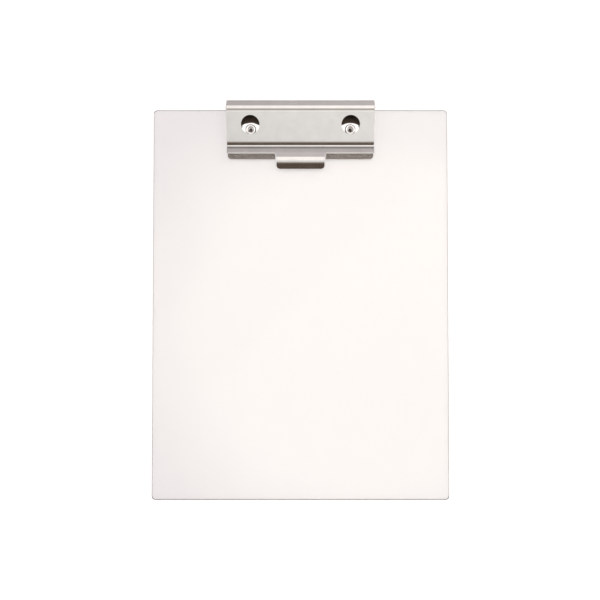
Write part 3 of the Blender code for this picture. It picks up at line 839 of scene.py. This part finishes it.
def make_base(material):
    low = FRONT_FACE_Z + REST_GAP
    front, rear = TOP_EDGE_Y + BASE_FRONT, TOP_EDGE_Y + BASE_REAR - BASE_FOLD
    half = BASE_HALF
    bm = bmesh.new()
    outline = [Vector((half, rear)), Vector((-half, rear))]
    outline += arc((BASE_CORNER - half, front + BASE_CORNER), BASE_CORNER, math.pi, 1.5 * math.pi)
    outline += arc((half - BASE_CORNER, front + BASE_CORNER), BASE_CORNER, 1.5 * math.pi, 2 * math.pi)
    outline_prism(bm, outline, low, low + BASE_SHEET)
    base = finished("plated_base", bm, "board_assembly", "base_plate", [material])
    for side, sign in SIDES:
        for place, x in (("outer", half - BASE_SHEET / 2), ("inner", INNER_EAR_X)):
            ear = flat_plate(base_ear_outline(), sign * x, BASE_SHEET)
            cut(base, ear, f"base_ear_{place}_{side}", "UNION")
        width = UPSTAND_X[1] - UPSTAND_X[0]
        upstand = flat_plate(upstand_outline(), sign * sum(UPSTAND_X) / 2, width)
        cut(base, upstand, f"upstand_{side}", "UNION")
    cut(base, rod(PIN_HOLE_RADIUS, 2 * half + 2 * OVERCUT, HINGE, (1, 0, 0)), "base_pin_bore")
    for side, x in rivet_places():
        place = in_frame(x, (RIVET_AHEAD, REST_GAP + BASE_SHEET / 2))
        cut(base, rod(SHANK_RADIUS + FIT_GAP, 2 * BASE_SHEET, place, (0, 0, 1)), f"base_hole_{side}")
    base.data.set_sharp_from_angle(angle=FOLD_ANGLE)
    soften(base, BASE_DEBURR)
    keep_flats(base)
    apply_modifiers(base)
    return base


# ---------------------------------------------------------------- pin, springs, fasteners


def rivet_places():
    return [(side, sign * RIVET_SPACING / 2) for side, sign in SIDES]


def make_pin(material):
    seat = COVER_HALF + REST_GAP
    end = seat + PIN_HEAD_LENGTH
    half = [
        (0, end),
        (PIN_HEAD_RADIUS - PIN_HEAD_DOME, end),
        (PIN_HEAD_RADIUS, end - PIN_HEAD_DOME),
        (PIN_HEAD_RADIUS, seat),
        (PIN_RADIUS, seat),
    ]
    profile = half + [(radius, -height) for radius, height in reversed(half)]
    bm = turned(rounded(profile, PIN_ROUNDING), HINGE, (1, 0, 0))
    return finished("swaged_pin", bm, "board_assembly", "hinge_pin", [material])


def make_spring(side, sign, material):
    """A torsion spring. One leg bears on the base plate's upstand, the other on the cover's rear wall."""
    width = COIL_TURNS * COIL_PITCH
    count = round(COIL_TURNS * POINTS_PER_TURN)
    route = [(-width / 2, AXIS_AHEAD - COIL_RADIUS, BASE_LEG_END)]
    for i in range(count + 1):
        angle = math.pi - 2 * math.pi * COIL_TURNS * i / count
        ahead = AXIS_AHEAD + COIL_RADIUS * math.cos(angle)
        above = AXIS_ABOVE + COIL_RADIUS * math.sin(angle)
        route.append((width * (i / count - 0.5), ahead, above))
    route.append((width / 2, AXIS_AHEAD + COIL_RADIUS, COVER_LEG_END))
    curve = bpy.data.curves.new(f"spring_{side}", "CURVE")
    curve.dimensions = "3D"
    curve.bevel_depth = WIRE_RADIUS
    curve.bevel_resolution = 6
    curve.use_fill_caps = True
    spline = curve.splines.new("POLY")
    spline.points.add(len(route) - 1)
    for point, (x, ahead, above) in zip(spline.points, route):
        point.co = (*in_frame(sign * (SPRING_X + x), (ahead, above)), 1)
    guide = bpy.data.objects.new(f"spring_{side}_guide", curve)
    bpy.context.scene.collection.objects.link(guide)
    bm = bmesh.new()
    graph = bpy.context.evaluated_depsgraph_get()
    bm.from_mesh(guide.evaluated_get(graph).to_mesh())
    bpy.data.objects.remove(guide, do_unlink=True)
    bmesh.ops.remove_doubles(bm, verts=bm.verts, dist=MERGE)
    spring = finished(
        f"spring_{side}", bm, None, f"torsion_spring_{side}", [material]
    )
    spring.data.set_sharp_from_angle(angle=SHARP_ANGLE)
    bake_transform(spring)
    return spring


def make_rivet(side, x, material, bore):
    """A semi-tubular rivet: its head in the counterbore, its hollow end rolled over on the base plate."""
    bottom = -FRONT_FACE_Z + HEAD_RECESS
    seat = REST_GAP + BASE_SHEET + FIT_GAP
    hollow_floor = seat + ROLL_HEIGHT - HOLLOW_DEPTH
    crown = (HOLLOW_RADIUS + ROLL_RADIUS) / 2
    roll_half = (ROLL_RADIUS - HOLLOW_RADIUS) / 2
    turns = [math.pi * i / ROLL_STEPS for i in range(1, ROLL_STEPS)]
    roll = [(crown - roll_half * math.cos(a), seat + ROLL_HEIGHT * math.sin(a)) for a in turns]
    inside = [(radius, hollow_floor + radius / 2) for radius in (0, HOLLOW_SHADE_RADIUS, HOLLOW_RADIUS)]
    inside.append((HOLLOW_RADIUS, seat))
    outside = [
        (ROLL_RADIUS, seat),
        (SHANK_RADIUS, seat),
        (SHANK_RADIUS, bottom + RIVET_HEAD_HEIGHT),
        (RIVET_HEAD_RADIUS, bottom + RIVET_HEAD_HEIGHT),
        (RIVET_HEAD_RADIUS, bottom),
        (0, bottom),
    ]
    profile = inside + roll + rounded(outside, RIVET_ROUNDING)
    bm = turned(profile, in_frame(x, (RIVET_AHEAD, 0)), (0, 0, 1))
    name = f"rolled_rivet_{side}"
    rivet = finished(name, bm, "board_assembly", f"rivet_{side}", [material, bore])
    # Painted shade: the middle of the hollow's floor takes the dark finish.
    rim = FRONT_FACE_Z + seat
    for polygon in rivet.data.polygons:
        offset = (polygon.center.xy - in_frame(x, (RIVET_AHEAD, 0)).xy).length
        above_floor = polygon.center.z > FRONT_FACE_Z + hollow_floor - MERGE
        polygon.material_index = int(offset < HOLLOW_SHADE_RADIUS and above_floor and polygon.center.z < rim)
    rivet.data.set_sharp_from_angle(angle=SHARP_ANGLE)
    return rivet


def make_washer(side, x, material):
    low = -FRONT_FACE_Z + HEAD_RECESS + RIVET_HEAD_HEIGHT + FIT_GAP
    place = in_frame(x, (RIVET_AHEAD, low + WASHER_THICKNESS / 2))
    bm = rod(WASHER_RADIUS, WASHER_THICKNESS, place, (0, 0, 1))
    name = f"washer_{side}"
    washer = finished(name, bm, "board_assembly", f"back_washer_{side}", [material])
    cut(washer, rod(SHANK_RADIUS + FIT_GAP, 2 * WASHER_THICKNESS, place, (0, 0, 1)), f"{name}_hole")
    soften(washer, WASHER_DEBURR)
    keep_flats(washer)
    apply_modifiers(washer)
    return washer


# ---------------------------------------------------------------- stage


def make_floor():
    bm = bmesh.new()
    bmesh.ops.create_grid(bm, x_segments=1, y_segments=1, size=FLOOR_HALF)
    mesh = bpy.data.meshes.new("floor")
    bm.to_mesh(mesh)
    bm.free()
    floor = bpy.data.objects.new("floor", mesh)
    floor.location.z = BOARD_LOW.z - FLOOR_DROP
    bpy.context.scene.collection.objects.link(floor)
    n = Nodes("pale_floor")
    n.fixed(Base_Color=(0.8, 0.8, 0.8, 1.0), Roughness=0.9, Emission_Color=(1.0, 0.99, 0.985, 1.0),
            Emission_Strength=FLOOR_GLOW)
    mesh.materials.append(n.material)


def make_studio():
    """A pale studio: bright overhead, middling towards the clip's end, dark low down at the near end."""
    world = bpy.data.worlds.new("studio")
    bpy.context.scene.world = world
    world.use_nodes = True
    tree = world.node_tree
    sky = tree.nodes["Background"]
    coords = tree.nodes.new("ShaderNodeTexCoord")
    split = tree.nodes.new("ShaderNodeSeparateXYZ")
    tree.links.new(coords.outputs["Generated"], split.inputs["Vector"])
    ramp = tree.nodes.new("ShaderNodeValToRGB")
    ramp.color_ramp.interpolation = "EASE"
    stops = ramp.color_ramp.elements
    shades = (
        (-1.0, (0.11, 0.08, 0.062)),
        (-0.85, (0.13, 0.105, 0.088)),
        (-0.68, (0.36, 0.31, 0.27)),
        (-0.45, (0.9, 0.89, 0.87)),
        (-0.2, (1.06, 1.05, 1.035)),
        (0.2, (1.44, 1.38, 1.35)),
        (0.5, (1.2, 1.15, 1.13)),
        (0.9, (0.70, 0.66, 0.67)),
        (1.0, (0.34, 0.32, 0.33)),
    )
    for index, (along_y, color) in enumerate(shades):
        stop = stops[index] if index < len(stops) else stops.new(1.0)
        stop.position = (along_y + 1) / 2
        stop.color = (*color, 1.0)
    for axis, numbers, target in (
        ("Y", (-1.0, 1.0, 0.0, 1.0), ramp.inputs["Fac"]),
        ("X", (-0.2, 0.0, 0.82, 1.0), sky.inputs["Strength"]),
    ):
        part_way = tree.nodes.new("ShaderNodeMapRange")
        for socket, number in zip(RANGE_SOCKETS, numbers):
            part_way.inputs[socket].default_value = number
        tree.links.new(split.outputs[axis], part_way.inputs["Value"])
        tree.links.new(part_way.outputs["Result"], target)
    tree.links.new(ramp.outputs["Color"], sky.inputs["Color"])
    backdrop = tree.nodes.new("ShaderNodeBackground")
    backdrop.inputs["Color"].default_value = (1.0, 1.0, 1.0, 1.0)
    path = tree.nodes.new("ShaderNodeLightPath")
    choose = tree.nodes.new("ShaderNodeMixShader")
    tree.links.new(path.outputs["Is Camera Ray"], choose.inputs["Fac"])
    tree.links.new(sky.outputs["Background"], choose.inputs[1])
    tree.links.new(backdrop.outputs["Background"], choose.inputs[2])
    tree.links.new(choose.outputs["Shader"], tree.nodes["World Output"].inputs["Surface"])


def make_camera():
    camera = bpy.data.cameras.new("camera")
    camera.lens = CAMERA_LENS
    camera.sensor_width = 36.0
    holder = bpy.data.objects.new("camera", camera)
    holder.location = CAMERA_PLACE
    holder.rotation_euler = (CAMERA_TILT, 0, 0)
    bpy.context.scene.collection.objects.link(holder)
    bpy.context.scene.camera = holder


make_camera()
make_floor()
make_studio()
bpy.context.scene.view_settings.view_transform = "Standard"

nickel = brushed_metal("satin_nickel", (0.74, 0.72, 0.70), (0.70, 0.68, 0.66), 0.17, 0.004 * MM)
# The darker nickel is painted shade for the lip's dark reflection.
lip_shade_nickel = brushed_metal("nickel_painted_lip_shade", (0.56, 0.525, 0.49), (0.50, 0.465, 0.435), 0.19, 0.005 * MM)
bright = turned_metal("bright_nickel", (0.86, 0.84, 0.81), (0.78, 0.76, 0.73), 0.16)
tinned = turned_metal("tinned_steel", (0.99, 0.975, 0.96), (0.94, 0.925, 0.91), 0.22)
# A dark finish that is painted shade in the rivets' hollows.
painted_hollow_shade = turned_metal("painted_hollow_shade", (0.10, 0.08, 0.065), (0.06, 0.05, 0.04), 0.4)
zinc = zinc_plate("zinc_plate", (0.74, 0.73, 0.72), (0.62, 0.615, 0.61), 0.28)
# The base plate carries painted shade: dark crescents seen through the cover's holes.
base_zinc = zinc_plate("base_zinc", (0.92, 0.91, 0.90), (0.86, 0.85, 0.84), 0.08, painted_shade=True)
wire = spring_steel("spring_steel")
# The second colour is painted shade on the board's left side and corners.
acrylic = clear_acrylic("clear_acrylic", (0.975, 0.955, 0.94), (0.87, 0.845, 0.855), 0.015)
# The edges' colours are painted shade: far, sides, near.
edges = shaded_sawn_edge("shaded_sawn_edge", (0.95, 0.94, 0.93), (0.55, 0.53, 0.52), (0.26, 0.245, 0.24))

make_board(acrylic, edges)
make_base(base_zinc)
make_cover(nickel, lip_shade_nickel)
make_pin(bright)
for side, sign in SIDES:
    make_spring(side, sign, wire)
for side, x in rivet_places():
    make_rivet(side, x, tinned, painted_hollow_shade)
    make_washer(side, x, zinc)
